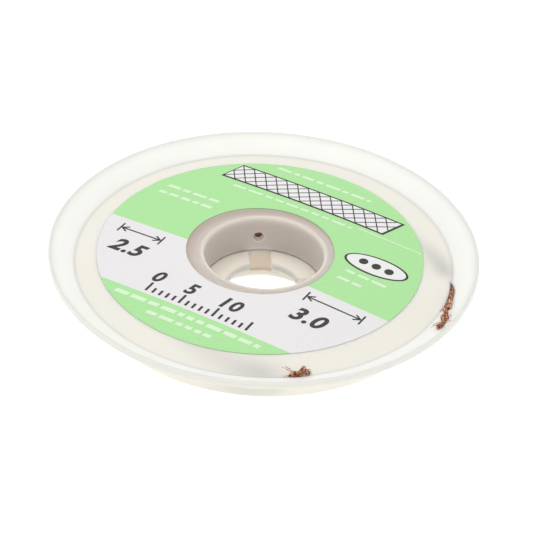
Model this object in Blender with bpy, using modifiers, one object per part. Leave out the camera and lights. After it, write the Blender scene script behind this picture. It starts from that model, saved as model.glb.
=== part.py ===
"""Desoldering braid on its spool: a flat copper braid wound in a two-part moulded spool.

Metres, +Z up. The origin is on the spool's axis, at the bottom of its foot ring, so the
part stands on z = 0. The front, where the outer end of the braid comes out, is at -Y.
"""
import math

import bmesh
import bpy
from mathutils import Matrix, Vector

MM = 0.001

# Upper half of the spool: a nearly flat disc with a flared rim, on the hub tube
CORNER_RADIUS = 24.6 * MM
RIM_WIDTH = 3.4 * MM
RIM_RISE = 2.00 * MM
RIM_ROUNDING = 0.32 * MM
DISC_THICKNESS = 0.90 * MM
DISC_SLOPE = 0.051
DISC_CORNER_ROUNDING = 0.6 * MM
UNDERSIDE_ROUNDING = 2.0 * MM
BORE_RADIUS = 7.8 * MM
TUBE_WALL = 0.8 * MM
TUBE_FILLET = 0.3 * MM
LIP_HEIGHT = 0.50 * MM
LIP_WALL = 0.40 * MM
ANCHOR_HOLE_RADIUS = 0.7 * MM
ANCHOR_HOLE_ANGLE = 96.0

# Lower half of the spool: a shallow cup with a flared wall, on a foot ring
FOOT_HEIGHT = 3.3 * MM
FOOT_WALL = 0.9 * MM
FOOT_FILLET = 0.3 * MM
FOOT_ROUNDING = 0.15 * MM
FOOT_LEDGE_HEIGHT = 0.85 * MM
FOOT_LEDGE_WIDTH = 0.30 * MM
FLOOR_THICKNESS = 0.75 * MM
FLOOR_ROUNDING = 0.5 * MM
CHAMBER_HEIGHT = 3.05 * MM
WALL_THICKNESS = 0.8 * MM
WALL_TOP_BEYOND_CORNER = 1.0 * MM
WALL_FLARE = 3.0 * MM
TAB_LENGTH = 3.05 * MM
TAB_THICKNESS = 1.0 * MM
TAB_DROP = 0.05 * MM
KEYWAY_WIDTH = 3.0 * MM
KEYWAYS = 4
KEYWAY_ANGLE = 4.75

# Label: a paper ring, stuck a little off the spool's centre
LABEL_BORDER = 3.2 * MM
LABEL_HOLE_MARGIN = 1.5 * MM
LABEL_THICKNESS = 0.10 * MM
LABEL_SHIFT_LEFT = 0.50 * MM
LABEL_SHIFT_BACK = 1.05 * MM

# Braid: its section, the length in the coil, and the groove between two turns
BRAID_WIDTH = 1.5 * MM
BRAID_THICKNESS = 0.45 * MM
COIL_LENGTH = 1430.0 * MM
TURN_GROOVE = 0.12 * MM

# Where the braid's two ends rise through the disc, as angles about the axis
START_SLOT_ANGLE = -8.0
FINISH_SLOT_ANGLE = -81.0

# Gap that neighbouring pieces keep, and how finely round shapes are divided
CLEARANCE = 0.3 * MM
STEPS = 72
COIL_STEPS = 48
FILLET_STEPS = 2
STRIP_STEPS = 4
HOLE_SIDES = 12

# Sizes that follow from the ones above
RIM_RADIUS = CORNER_RADIUS + RIM_WIDTH
RIM_SLOPE = RIM_RISE / RIM_WIDTH
RIM_DEPTH = DISC_THICKNESS * math.hypot(1.0, RIM_SLOPE)
TUBE_RADIUS = BORE_RADIUS + TUBE_WALL
LIP_RADIUS = BORE_RADIUS + LIP_WALL
FOOT_RADIUS = BORE_RADIUS + FOOT_WALL
FLOOR_TOP = FOOT_HEIGHT + FLOOR_THICKNESS
TUBE_END = FLOOR_TOP + CLEARANCE
UNDERSIDE_AT_CORNER = FLOOR_TOP + CHAMBER_HEIGHT
TOP_AT_CORNER = UNDERSIDE_AT_CORNER + DISC_THICKNESS
WALL_TOP_RADIUS = CORNER_RADIUS + WALL_TOP_BEYOND_CORNER
FLOOR_RADIUS = WALL_TOP_RADIUS - WALL_FLARE
COIL_INNER_RADIUS = TUBE_RADIUS + CLEARANCE
COIL_BOTTOM = FLOOR_TOP + CLEARANCE
COIL_HEIGHT = CHAMBER_HEIGHT - CLEARANCE - BRAID_THICKNESS
COIL_TOP = COIL_BOTTOM + COIL_HEIGHT
COIL_AREA = COIL_LENGTH * BRAID_WIDTH * BRAID_THICKNESS / COIL_HEIGHT
COIL_RADIUS = math.sqrt(COIL_INNER_RADIUS ** 2 + COIL_AREA / math.pi)


def disc_top(radius):
    """Height of the disc's upper face, which falls gently from the hub to the corner."""
    return TOP_AT_CORNER + DISC_SLOPE * (CORNER_RADIUS - radius)


def disc_underside(radius):
    """Height of the disc's lower face."""
    return disc_top(radius) - DISC_THICKNESS


def cone_top(radius):
    """Height of the flared rim's upper face."""
    return TOP_AT_CORNER + RIM_SLOPE * (radius - CORNER_RADIUS)


def cone_underside(radius):
    """Height of the flared rim's lower face."""
    return cone_top(radius) - RIM_DEPTH


# Where the disc's and the rim's lower faces meet, and how the cup's wall stands under them
UNDERSIDE_CORNER_RADIUS = CORNER_RADIUS + (RIM_DEPTH - DISC_THICKNESS) / (RIM_SLOPE + DISC_SLOPE)
WALL_RISE = cone_underside(WALL_TOP_RADIUS) - CLEARANCE - FOOT_HEIGHT
WALL_WIDTH = WALL_THICKNESS * math.hypot(WALL_RISE, WALL_FLARE) / WALL_RISE


def wall_inside(height):
    """Radius of the cup wall's inner face, which flares outwards as it rises."""
    return FLOOR_RADIUS - WALL_WIDTH + WALL_FLARE * (height - FOOT_HEIGHT) / WALL_RISE


def clear_scene():
    for item in list(bpy.data.objects):
        bpy.data.objects.remove(item, do_unlink=True)


def make_collection(name):
    collection = bpy.data.collections.new(name)
    bpy.context.scene.collection.children.link(collection)
    return collection


def make_material(name, colour, roughness, metallic=0.0, alpha=1.0):
    material = bpy.data.materials.new(name)
    material.use_nodes = True
    shader = material.node_tree.nodes["Principled BSDF"]
    shader.inputs["Base Color"].default_value = (*colour, 1.0)
    shader.inputs["Roughness"].default_value = roughness
    shader.inputs["Metallic"].default_value = metallic
    shader.inputs["Alpha"].default_value = alpha
    return material


def add_object(name, shape, collection, material=None):
    """A new object from a finished bmesh."""
    mesh = bpy.data.meshes.new(name)
    shape.to_mesh(mesh)
    shape.free()
    item = bpy.data.objects.new(name, mesh)
    collection.objects.link(item)
    if material:
        mesh.materials.append(material)
    return item


def add_cutter(name, shape, collection):
    """An object that only cuts or joins others, and isn't a piece itself."""
    item = add_object(name, shape, collection)
    item.hide_render = True
    item.display_type = "WIRE"
    return item


def boolean(item, other, operation):
    modifier = item.modifiers.new(operation.lower(), "BOOLEAN")
    modifier.operation = operation
    modifier.solver = "EXACT"
    modifier.object = other


def rounded_outline(corners):
    """Points of a closed outline whose corners (radius, height, rounding) are rounded."""
    points = []
    for index, (radius, height, rounding) in enumerate(corners):
        here = Vector((radius, height))
        if rounding == 0:
            points.append(here)
            continue
        before = Vector(corners[index - 1][:2]) - here
        after = Vector(corners[(index + 1) % len(corners)][:2]) - here
        half = before.angle(after) / 2
        reach = min(rounding / math.tan(half), 0.45 * before.length, 0.45 * after.length)
        to_centre = (before.normalized() + after.normalized()).normalized()
        centre = here + to_centre * (reach / math.cos(half))
        first = here + before.normalized() * reach - centre
        last = here + after.normalized() * reach - centre
        turn = -first.angle_signed(last)
        for step in range(FILLET_STEPS + 1):
            points.append(centre + Matrix.Rotation(turn * step / FILLET_STEPS, 2) @ first)
    return [tuple(point) for point in points]


def outline_shape(outline):
    """The edges of a closed outline in (radius, height), in the plane y = 0."""
    shape = bmesh.new()
    verts = [shape.verts.new((point[0], 0.0, point[1])) for point in outline]
    for index, vert in enumerate(verts):
        shape.edges.new((verts[index - 1], vert))
    return shape


def turn_about_axis(item, steps=STEPS):
    """Turn an outline that runs down its outer side into a ring."""
    screw = item.modifiers.new("turn", "SCREW")
    screw.steps = steps
    screw.render_steps = steps
    screw.use_merge_vertices = True
    screw.merge_threshold = 0.00001
    screw.use_smooth_shade = True
    return item


def spline(knots, place):
    """The knots' values at a place between 0 and 1, on a Catmull-Rom curve."""
    spans = len(knots) - 1
    span = min(int(place * spans), spans - 1)
    local = place * spans - span
    around = [knots[max(0, min(spans, span + offset))] for offset in (-1, 0, 1, 2)]
    values = []
    for before, first, second, after in zip(*around):
        slope_in = (second - before) / 2
        slope_out = (after - first) / 2
        bend = 3 * (second - first) - 2 * slope_in - slope_out
        twist = 2 * (first - second) + slope_in + slope_out
        values.append(first + slope_in * local + bend * local ** 2 + twist * local ** 3)
    return values


def strip_shape(knots, width, thickness):
    """A flat strip through knots of (angle, radius, height, lean), angles in degrees.

    Its section lies in the plane through the axis: lean 0 lays it flat, and lean 90
    stands it on one edge.
    """
    shape = bmesh.new()
    bmesh.ops.create_cube(shape, size=1.0)
    lengthwise = [edge for edge in shape.edges if abs(edge.verts[0].co.x - edge.verts[1].co.x) > 0.5]
    cuts = STRIP_STEPS * (len(knots) - 1) - 1
    bmesh.ops.subdivide_edges(shape, edges=lengthwise, cuts=cuts, use_grid_fill=True)
    for vert in shape.verts:
        angle, radius, height, lean = spline(knots, vert.co.x + 0.5)
        tilt = math.radians(lean)
        turn = math.radians(angle)
        across = vert.co.y * width
        through = vert.co.z * thickness
        out = radius + across * math.cos(tilt) - through * math.sin(tilt)
        up = height + across * math.sin(tilt) + through * math.cos(tilt)
        vert.co = (out * math.cos(turn), out * math.sin(turn), up)
    shape.normal_update()
    bmesh.ops.recalc_face_normals(shape, faces=shape.faces[:])
    return shape


def half_rise(lean):
    """Half the height that a leaning strip's section takes up."""
    tilt = math.radians(lean)
    return (BRAID_WIDTH * math.sin(tilt) + BRAID_THICKNESS * math.cos(tilt)) / 2


def under_disc(angle, inside_corner, lean=0.0):
    """A knot just under the disc, a distance inside its corner."""
    height = UNDERSIDE_AT_CORNER - CLEARANCE - half_rise(lean)
    return (angle, CORNER_RADIUS - inside_corner, height, lean)


def beside_wall(angle, spare, height, lean):
    """A knot that stands inside the cup's wall: its two outer edges clear it with some to spare."""
    tilt = math.radians(lean)
    reach = []
    for half_width in (-BRAID_WIDTH / 2, BRAID_WIDTH / 2):
        sideways = half_width * math.cos(tilt) + BRAID_THICKNESS / 2 * math.sin(tilt)
        upwards = half_width * math.sin(tilt) - BRAID_THICKNESS / 2 * math.cos(tilt)
        reach.append(wall_inside(height + upwards) - sideways)
    gap = CLEARANCE * WALL_WIDTH / WALL_THICKNESS
    return (angle, min(reach) - gap - spare, height, lean)


def over_cone(angle, beyond_corner, lean):
    """A knot that leans over the flared rim: its lower edge is just clear of it."""
    tilt = math.radians(lean)
    radius = CORNER_RADIUS + beyond_corner
    lower_edge = (BRAID_WIDTH * math.cos(tilt) + BRAID_THICKNESS * math.sin(tilt)) / 2
    ground = max(cone_top(radius - lower_edge), TOP_AT_CORNER)
    return (angle, radius, ground + CLEARANCE + half_rise(lean), lean)


def start_knots():
    """The braid's inner end: off the coil's top, flat under the disc, up through its slot."""
    slot = START_SLOT_ANGLE
    halfway = (CORNER_RADIUS - COIL_RADIUS) / 2
    return [
        (slot + 80.0, COIL_RADIUS - 2.2 * MM, COIL_TOP - BRAID_THICKNESS, 0.0),
        (slot + 66.0, COIL_RADIUS - 1.2 * MM, COIL_TOP + 0.2 * BRAID_THICKNESS, 0.0),
        (slot + 50.0, COIL_RADIUS + 1.4 * MM, COIL_TOP + 0.4 * BRAID_THICKNESS, 0.0),
        under_disc(slot + 33.0, halfway + 0.4 * MM),
        under_disc(slot + 19.0, 3.3 * MM),
        under_disc(slot + 10.0, 1.9 * MM, 8.0),
        (slot + 3.0, CORNER_RADIUS - 0.75 * MM, UNDERSIDE_AT_CORNER, 42.0),
        (slot - 4.0, CORNER_RADIUS - 0.15 * MM, TOP_AT_CORNER - 0.1 * MM, 62.0),
        over_cone(slot - 11.0, 0.45 * MM, 60.0),
        over_cone(slot - 18.0, 1.15 * MM, 46.0),
        over_cone(slot - 24.0, 1.80 * MM, 32.0),
    ]


def finish_knots():
    """The braid's outer end: off the coil's side, along the cup's wall, up through its slot."""
    slot = FINISH_SLOT_ANGLE
    middle = COIL_BOTTOM + COIL_HEIGHT / 2
    return [
        (slot - 91.0, COIL_RADIUS - 0.6 * BRAID_THICKNESS, middle, 90.0),
        (slot - 74.0, COIL_RADIUS + 0.5 * MM, middle, 90.0),
        (slot - 57.0, COIL_RADIUS + 2.2 * MM, middle + 0.1 * MM, 86.0),
        (slot - 41.0, COIL_RADIUS + 4.4 * MM, middle + 0.2 * MM, 76.0),
        beside_wall(slot - 27.0, 2.1 * MM, middle + 0.35 * MM, 64.0),
        beside_wall(slot - 16.0, 0.5 * MM, middle + 0.5 * MM, 54.0),
        beside_wall(slot - 9.0, 0.1 * MM, middle + 0.8 * MM, 50.0),
        beside_wall(slot - 3.5, 0.0, UNDERSIDE_AT_CORNER - 0.1 * MM, 56.0),
        (slot + 1.0, CORNER_RADIUS - 0.25 * MM, TOP_AT_CORNER - 0.1 * MM, 68.0),
        (slot + 5.0, CORNER_RADIUS, TOP_AT_CORNER + BRAID_WIDTH / 2, 80.0),
    ]


def model_upper_half(parts, cutters):
    """The disc with its flared rim, lip and hub tube, in one moulding."""
    rim_top = cone_top(RIM_RADIUS)
    lip_top = disc_top(LIP_RADIUS) + LIP_HEIGHT
    outline = rounded_outline([
        (RIM_RADIUS, rim_top, RIM_ROUNDING),
        (RIM_RADIUS, rim_top - RIM_DEPTH, RIM_ROUNDING),
        (UNDERSIDE_CORNER_RADIUS, disc_underside(UNDERSIDE_CORNER_RADIUS), UNDERSIDE_ROUNDING),
        (TUBE_RADIUS, disc_underside(TUBE_RADIUS), TUBE_FILLET),
        (TUBE_RADIUS, TUBE_END, 0.0),
        (BORE_RADIUS, TUBE_END, 0.0),
        (BORE_RADIUS, lip_top, 0.7 * LIP_WALL),
        (LIP_RADIUS, lip_top, 0.2 * LIP_WALL),
        (LIP_RADIUS, disc_top(LIP_RADIUS), 0.0),
        (CORNER_RADIUS, TOP_AT_CORNER, DISC_CORNER_ROUNDING),
    ])
    plastic = make_material("natural polypropylene", (0.93, 0.92, 0.88), 0.35, alpha=0.8)
    item = turn_about_axis(add_object("upper_flange", outline_shape(outline), parts, plastic))
    boolean(item, anchor_hole(cutters), "DIFFERENCE")
    slot_width = BRAID_WIDTH + 2 * CLEARANCE
    slot_thickness = BRAID_THICKNESS + 2 * CLEARANCE
    for name, knots in (("start slot", start_knots()), ("finish slot", finish_knots())):
        slot = add_cutter(name, strip_shape(knots, slot_width, slot_thickness), cutters)
        boolean(item, slot, "DIFFERENCE")


def anchor_hole(cutters):
    """The small round hole halfway down the hub tube, which held the braid's first turn."""
    shape = bmesh.new()
    bmesh.ops.create_cone(shape, cap_ends=True, segments=HOLE_SIDES, radius1=ANCHOR_HOLE_RADIUS,
                          radius2=ANCHOR_HOLE_RADIUS, depth=4 * TUBE_WALL)
    turn = math.radians(ANCHOR_HOLE_ANGLE)
    radius = BORE_RADIUS + TUBE_WALL / 2
    cutter = add_cutter("anchor hole", shape, cutters)
    cutter.location.x = radius * math.cos(turn)
    cutter.location.y = radius * math.sin(turn)
    cutter.location.z = (TUBE_END + disc_underside(TUBE_RADIUS)) / 2
    cutter.rotation_euler = (0.0, math.pi / 2, turn)
    return cutter


def model_lower_half(parts, cutters):
    """The shallow cup with its flared wall and foot ring, and the keyed plate in its hub."""
    inner_top = disc_underside(UNDERSIDE_CORNER_RADIUS) - CLEARANCE
    ledge_radius = BORE_RADIUS - FOOT_LEDGE_WIDTH
    outline = rounded_outline([
        (WALL_TOP_RADIUS, FOOT_HEIGHT + WALL_RISE, 0.0),
        (FLOOR_RADIUS, FOOT_HEIGHT, FLOOR_ROUNDING),
        (FOOT_RADIUS, FOOT_HEIGHT, FOOT_FILLET),
        (FOOT_RADIUS, 0.0, FOOT_ROUNDING),
        (ledge_radius, 0.0, FOOT_ROUNDING),
        (ledge_radius, FOOT_LEDGE_HEIGHT, 0.0),
        (BORE_RADIUS, FOOT_LEDGE_HEIGHT, 0.0),
        (BORE_RADIUS, FLOOR_TOP, 0.0),
        (wall_inside(FLOOR_TOP), FLOOR_TOP, FLOOR_ROUNDING),
        (wall_inside(inner_top), inner_top, 0.0),
        (UNDERSIDE_CORNER_RADIUS, inner_top, 0.0),
    ])
    plastic = make_material("natural polypropylene, lower", (0.90, 0.88, 0.82), 0.35, alpha=0.8)
    item = turn_about_axis(add_object("lower_flange", outline_shape(outline), parts, plastic))
    boolean(item, keyed_plate(cutters), "UNION")


def keyed_plate(cutters):
    """The plate across the hub: a round hole with keyways, which leave tabs between them."""
    top = FLOOR_TOP - TAB_DROP
    rooted = BORE_RADIUS + FOOT_WALL / 2
    inner = BORE_RADIUS - TAB_LENGTH
    outline = [(rooted, top), (rooted, top - TAB_THICKNESS), (inner, top - TAB_THICKNESS), (inner, top)]
    plate = turn_about_axis(add_cutter("keyed plate", outline_shape(outline), cutters))
    for turn in range(KEYWAYS // 2):
        shape = bmesh.new()
        size = Matrix.Diagonal((3 * BORE_RADIUS, KEYWAY_WIDTH, 3 * TAB_THICKNESS, 1.0))
        bmesh.ops.create_cube(shape, size=1.0, matrix=size)
        keyway = add_cutter("keyway", shape, cutters)
        keyway.location.z = top - TAB_THICKNESS / 2
        keyway.rotation_euler.z = math.radians(KEYWAY_ANGLE) + 2 * math.pi * turn / KEYWAYS
        boolean(plate, keyway, "DIFFERENCE")
    return plate


def model_label(parts):
    """The paper ring on the disc. It follows the disc's gentle slope."""
    outer = CORNER_RADIUS - LABEL_BORDER
    hole = LIP_RADIUS + LABEL_HOLE_MARGIN
    outline = [
        (outer, disc_top(outer) + CLEARANCE + LABEL_THICKNESS),
        (outer, disc_top(outer) + CLEARANCE),
        (hole, disc_top(hole) + CLEARANCE),
        (hole, disc_top(hole) + CLEARANCE + LABEL_THICKNESS),
    ]
    paper = make_material("coated paper label", (0.45, 0.72, 0.38), 0.5)
    item = turn_about_axis(add_object("label", outline_shape(outline), parts, paper))
    item.location.x = -LABEL_SHIFT_LEFT
    item.location.y = LABEL_SHIFT_BACK


def model_braid(parts, cutters):
    """The whole braid: its coil, whose turns show as grooves on top, and its two ends."""
    turns = round((COIL_RADIUS - COIL_INNER_RADIUS) / BRAID_THICKNESS)
    pitch = (COIL_RADIUS - COIL_INNER_RADIUS) / turns
    groove = COIL_TOP - TURN_GROOVE
    outline = [(COIL_RADIUS, groove), (COIL_RADIUS, COIL_BOTTOM),
               (COIL_INNER_RADIUS, COIL_BOTTOM), (COIL_INNER_RADIUS, groove)]
    for turn in range(turns):
        crest = COIL_INNER_RADIUS + (turn + 0.5) * pitch
        outline.append((crest, COIL_TOP))
        if turn < turns - 1:
            outline.append((crest + pitch / 2, groove))
    copper = make_material("copper braid", (0.60, 0.36, 0.22), 0.4, metallic=1.0)
    item = turn_about_axis(add_object("braid", outline_shape(outline), parts, copper), COIL_STEPS)
    for name, knots in (("start lead", start_knots()), ("finish lead", finish_knots())):
        lead = add_cutter(name, strip_shape(knots, BRAID_WIDTH, BRAID_THICKNESS), cutters)
        boolean(item, lead, "UNION")


def main():
    clear_scene()
    parts = make_collection("desoldering braid")
    cutters = make_collection("cutters")
    model_upper_half(parts, cutters)
    model_lower_half(parts, cutters)
    model_label(parts)
    model_braid(parts, cutters)


main()
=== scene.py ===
"""Looks of a desoldering braid on its spool.

A milky polypropylene spool in two halves, its paper label with plain print, and the flat copper
braid wound inside it, whose two ends come out through slots in the upper disc.
Metres, +Z up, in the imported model's frame: the spool's axis is Z and its foot stands on z = 0.
"""
import math
import random

import bmesh
import bpy
import numpy
from mathutils import Matrix, Vector


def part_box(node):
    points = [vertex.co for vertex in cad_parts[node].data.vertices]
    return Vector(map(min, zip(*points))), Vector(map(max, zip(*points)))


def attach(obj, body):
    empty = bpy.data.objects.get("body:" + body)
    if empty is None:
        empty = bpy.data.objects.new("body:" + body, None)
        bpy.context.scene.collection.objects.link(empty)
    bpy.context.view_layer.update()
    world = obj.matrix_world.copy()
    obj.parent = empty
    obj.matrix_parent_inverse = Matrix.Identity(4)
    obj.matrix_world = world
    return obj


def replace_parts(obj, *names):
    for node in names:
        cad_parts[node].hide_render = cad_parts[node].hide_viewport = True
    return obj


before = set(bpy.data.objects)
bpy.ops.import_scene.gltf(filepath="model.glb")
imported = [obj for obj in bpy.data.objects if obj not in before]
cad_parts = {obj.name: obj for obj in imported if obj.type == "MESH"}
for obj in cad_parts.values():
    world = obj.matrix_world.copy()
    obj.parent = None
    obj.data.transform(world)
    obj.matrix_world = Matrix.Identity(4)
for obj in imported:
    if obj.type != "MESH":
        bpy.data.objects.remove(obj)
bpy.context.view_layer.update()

MM = 0.001
SEED = 15

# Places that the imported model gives
RIM_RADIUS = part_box("upper_flange")[1].x
WALL_TOP_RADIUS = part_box("lower_flange")[1].x
LABEL_LOW, LABEL_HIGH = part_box("label")
LABEL_CENTRE = (LABEL_LOW + LABEL_HIGH) / 2
LABEL_TRIM = 0.07 * MM
LABEL_RADIUS = (LABEL_HIGH.x - LABEL_LOW.x) / 2 - LABEL_TRIM

# Upper half of the spool
RIM_WIDTH = 3.4 * MM
RIM_RISE = 2.00 * MM
RIM_DEPTH = 1.02 * MM
CORNER_RADIUS = RIM_RADIUS - RIM_WIDTH
UNDERSIDE_CORNER_RADIUS = CORNER_RADIUS + 0.2 * MM
TOP_AT_CORNER = 8.0 * MM
WALL = 0.90 * MM
DISC_SLOPE = 0.051
BORE_RADIUS = 7.8 * MM
TUBE_RADIUS = 8.6 * MM
LIP_RADIUS = 8.2 * MM
LIP_FOOT_RADIUS = 8.5 * MM
LIP_HEIGHT = 0.50 * MM
ANCHOR_HOLE_RADIUS = 0.80 * MM
ANCHOR_HOLE_TAPER = 0.43
ANCHOR_HOLE_DEPTH = 1.8 * MM
ANCHOR_HOLE_ANGLE = math.radians(96.0)
ANCHOR_HOLE_HEIGHT = 6.12 * MM
SLOT_ROOM = 0.05 * MM

# Lower half of the spool
FOOT_HEIGHT = 3.3 * MM
FOOT_RADIUS = 8.7 * MM
FOOT_LEDGE_HEIGHT = 0.85 * MM
FOOT_LEDGE_WIDTH = 0.30 * MM
FLOOR_TOP = 4.05 * MM
FLOOR_RADIUS = WALL_TOP_RADIUS - 3.0 * MM
CUP_WALL = 1.0 * MM
WALL_TOP_DROP = 1.07 * MM
INNER_TOP_DROP = 0.06 * MM
TAB_INNER_RADIUS = 4.75 * MM
TAB_THICKNESS = 1.0 * MM
TAB_DROP = 0.05 * MM
TAB_CORNER = 0.75 * MM
KEYWAY_WIDTH = 3.0 * MM
KEYWAY_ANGLE = math.radians(4.75)

# Label: its ring, and the directions that its print runs in
LABEL_HOLE_RADIUS = 9.7 * MM
LABEL_THICKNESS = 0.07 * MM
PRINT_ANGLE = math.radians(-30.07)
PRINT_ALONG = Vector((math.cos(PRINT_ANGLE), math.sin(PRINT_ANGLE), 0.0))
PRINT_UP = Vector((-math.sin(PRINT_ANGLE), math.cos(PRINT_ANGLE), 0.0))
WHITE_BAND_TOP = -3.33 * MM
WHITE_BAND_BOTTOM = -15.89 * MM
INK_THICKNESS = 0.02 * MM

# Braid
BRAID_WIDTH = 1.5 * MM
BRAID_THICKNESS = 0.45 * MM
COIL_INNER_RADIUS = 8.75 * MM
COIL_RADIUS = 14.1 * MM
COIL_TOP = 6.65 * MM
COIL_HEIGHT = 1.9 * MM
COIL_TURNS = 20
COIL_KNOTS_PER_TURN = 12
COIL_STEPS_PER_TURN = 60
COIL_START_ANGLE = 72.0
COIL_THICKNESS = 0.22 * MM
END_LENGTH = 36 * MM
CARRIERS = 12
WIRES = 3
WIRE_RADIUS = 0.048 * MM
BRAID_PITCH = 5.2 * MM

# How the copper shows through the plastic, painted into its colour together with the shade it casts
# there: as spots, each blurred over a distance
SPOT_SIZE = 1.0 * MM
SPOTS_PER_END = 28
COIL_BLUR = 2.5 * MM
START_BLUR = 1.3 * MM
FINISH_BLUR = 2.2 * MM
COPPER_GAIN = 1.1
SHARE_AT_TUBE_END = 0.45
SHARE_ON_RIM = 0.2

# Round shapes, and the finest pieces that their faces are cut into
STEPS = 240
FILLET_STEPS = 5
SPOOL_CUT = 0.8 * MM
LABEL_CUT = 1.0 * MM
SHARP_ANGLE = math.radians(35.0)

# Print, in label millimetres
LINE_WIDTH = 0.22
BAND = (-14.0, 11.3, 12.55, 16.55)
BAND_EDGE = 0.28
BAND_SLANT = 0.3
LATTICE_ROWS = 2
LATTICE_WIDTH = 0.15
ELLIPSE = (14.22, 5.64)
ELLIPSE_SLANT = 0.25
DOT_SPACING = 1.9
DOT_RADIUS = 0.62
THIN_LINE = (8.0, 17.65, 11.76, 11.94)
# Rows of dashes: left, right, bottom, height
DASH_ROWS = [
    (-8.6, 6.0, 18.35, 0.5), (-11.3, 7.2, 11.1, 0.42), (-18.6, -10.2, 6.2, 0.55),
    (-18.9, -9.9, 4.4, 0.55), (11.4, 17.4, 2.35, 0.5), (11.2, 15.6, 0.45, 0.5),
    (-11.2, 10.4, -17.5, 0.7), (-5.3, 4.3, -19.15, 0.62),
]
DASH_SLANT = 0.2
DASH_GAP = 0.45
FIGURE_HEIGHT = 2.4
FIGURE_SHARE_OF_FONT_SIZE = 0.69
# Dimension arrows: left, right, height
ARROWS = [(-18.4, -11.8, -5.35), (10.0, 18.4, -5.2)]
ARROW_HEAD = 0.9
ARROW_BAR = 0.24
SCALE_LEFT = -7.9
SCALE_BOTTOM = -15.35
SCALE_MARKS = 16
SCALE_FIGURES_BOTTOM = -13.1
SCALE_FIGURE_HEIGHT = 2.0

# Camera: fitted to the photograph, for a picture 533 pixels square
IMAGE_SIZE = 533
FOCAL_LENGTH_PIXELS = 2456.6
SENSOR = 36.0
CAMERA_DISTANCE = 320.0 * MM
CAMERA_ELEVATION = math.radians(35.75)
CAMERA_ROLL = math.radians(2.65)
AIM_HEIGHT = 8.2 * MM
AIM_PIXEL = (263.80, 258.78)


def cone_top(radius):
    """Height of the flared rim's upper face."""
    return TOP_AT_CORNER + RIM_RISE * (radius - CORNER_RADIUS) / (RIM_RADIUS - CORNER_RADIUS)


def disc_top(radius):
    """Height of the disc's upper face, which falls gently from the hub to the corner."""
    return TOP_AT_CORNER + DISC_SLOPE * (CORNER_RADIUS - radius)


# Colour and node helpers

def hex_colour(code):
    """Linear RGBA from an sRGB hex value."""
    channels = [int(code[place:place + 2], 16) / 255 for place in (1, 3, 5)]
    linear = [c / 12.92 if c <= 0.04045 else ((c + 0.055) / 1.055) ** 2.4 for c in channels]
    return (*linear, 1.0)


def add_node(tree, kind, inputs, **settings):
    """A node with its settings, whose inputs are values or other nodes' outputs."""
    node = tree.nodes.new(kind)
    for name, value in settings.items():
        setattr(node, name, value)
    for name, value in inputs.items():
        if isinstance(value, bpy.types.NodeSocket):
            tree.links.new(value, node.inputs[name])
        else:
            node.inputs[name].default_value = value
    return node


def new_material(name, **sockets):
    """A material with its Principled shader's sockets set. Returns it, its tree and the shader."""
    material = bpy.data.materials.new(name)
    material.use_nodes = True
    tree = material.node_tree
    shader = tree.nodes["Principled BSDF"]
    for socket, value in sockets.items():
        shader.inputs[socket.replace("_", " ")].default_value = value
    return material, tree, shader


def noise(tree, size, detail, roughness):
    """A noise pattern on the object's own coordinates, whose spots are about a size across."""
    place = add_node(tree, "ShaderNodeTexCoord", {})
    pattern = add_node(tree, "ShaderNodeTexNoise", {
        "Vector": place.outputs["Object"], "Scale": 1 / size, "Detail": detail, "Roughness": roughness})
    return pattern.outputs["Fac"]


def mixed(tree, factor, first, second, **settings):
    """Two colours mixed by a factor."""
    mix = add_node(tree, "ShaderNodeMix", {"Factor": factor, "A": first, "B": second},
                   data_type="RGBA", **settings)
    return mix.outputs["Result"]


def calculated(tree, operation, first, second):
    """What a calculation on two values gives."""
    return add_node(tree, "ShaderNodeMath", {0: first, 1: second}, operation=operation).outputs[0]


def add_bump(tree, shader, height, strength, distance):
    """Fine relief on a shader's surface."""
    bump = add_node(tree, "ShaderNodeBump", {
        "Height": height, "Strength": strength, "Distance": distance})
    tree.links.new(bump.outputs["Normal"], shader.inputs["Normal"])


# Where, in millimetres from the axis, the milky plastic looks greyer or creamier. Partly this is its own
# tone, as light goes a longer way across its corners and edges. Partly it is painted shade and
# highlight: a dark line in the crease between disc and rim, a greyer outer edge of the rim, darker
# plastic beside the label's edge, and a darker lip crest that damps its highlight
UPPER_TONES_AND_SHADE = [
    (7.82, "#FFFDFA"), (7.9, "#EFE8E2"), (8.02, "#E2DCD5"), (8.15, "#ECE6E0"), (8.4, "#FFFEFB"),
    (9.2, "#F6F1EB"), (10.2, "#DED6CD"), (11.5, "#F2EFEA"), (24.3, "#F5F3ED"), (24.6, "#E4E3DF"),
    (24.9, "#F7F8F9"), (26.8, "#F7F8F9"), (27.35, "#F1F2F2"), (27.7, "#E0E1E1"), (27.95, "#DBDDDB"),
    (28.0, "#E9E9E6"),
]
# In the lower half, the grey band on the tabs' inner edges is painted shade, and the warmer bore is
# painted copper showing through
LOWER_TONES_AND_SHADE = [
    (4.85, "#D9DADB"), (5.1, "#F5F4F2"), (7.6, "#F5F4F2"), (7.8, "#EBE2D9"), (9.0, "#F3F1EA"),
    (25.6, "#F3F1EA"),
]
# How deep light scatters in them
UPPER_SCATTER = 0.8 * MM
LOWER_SCATTER = 1.2 * MM


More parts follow.
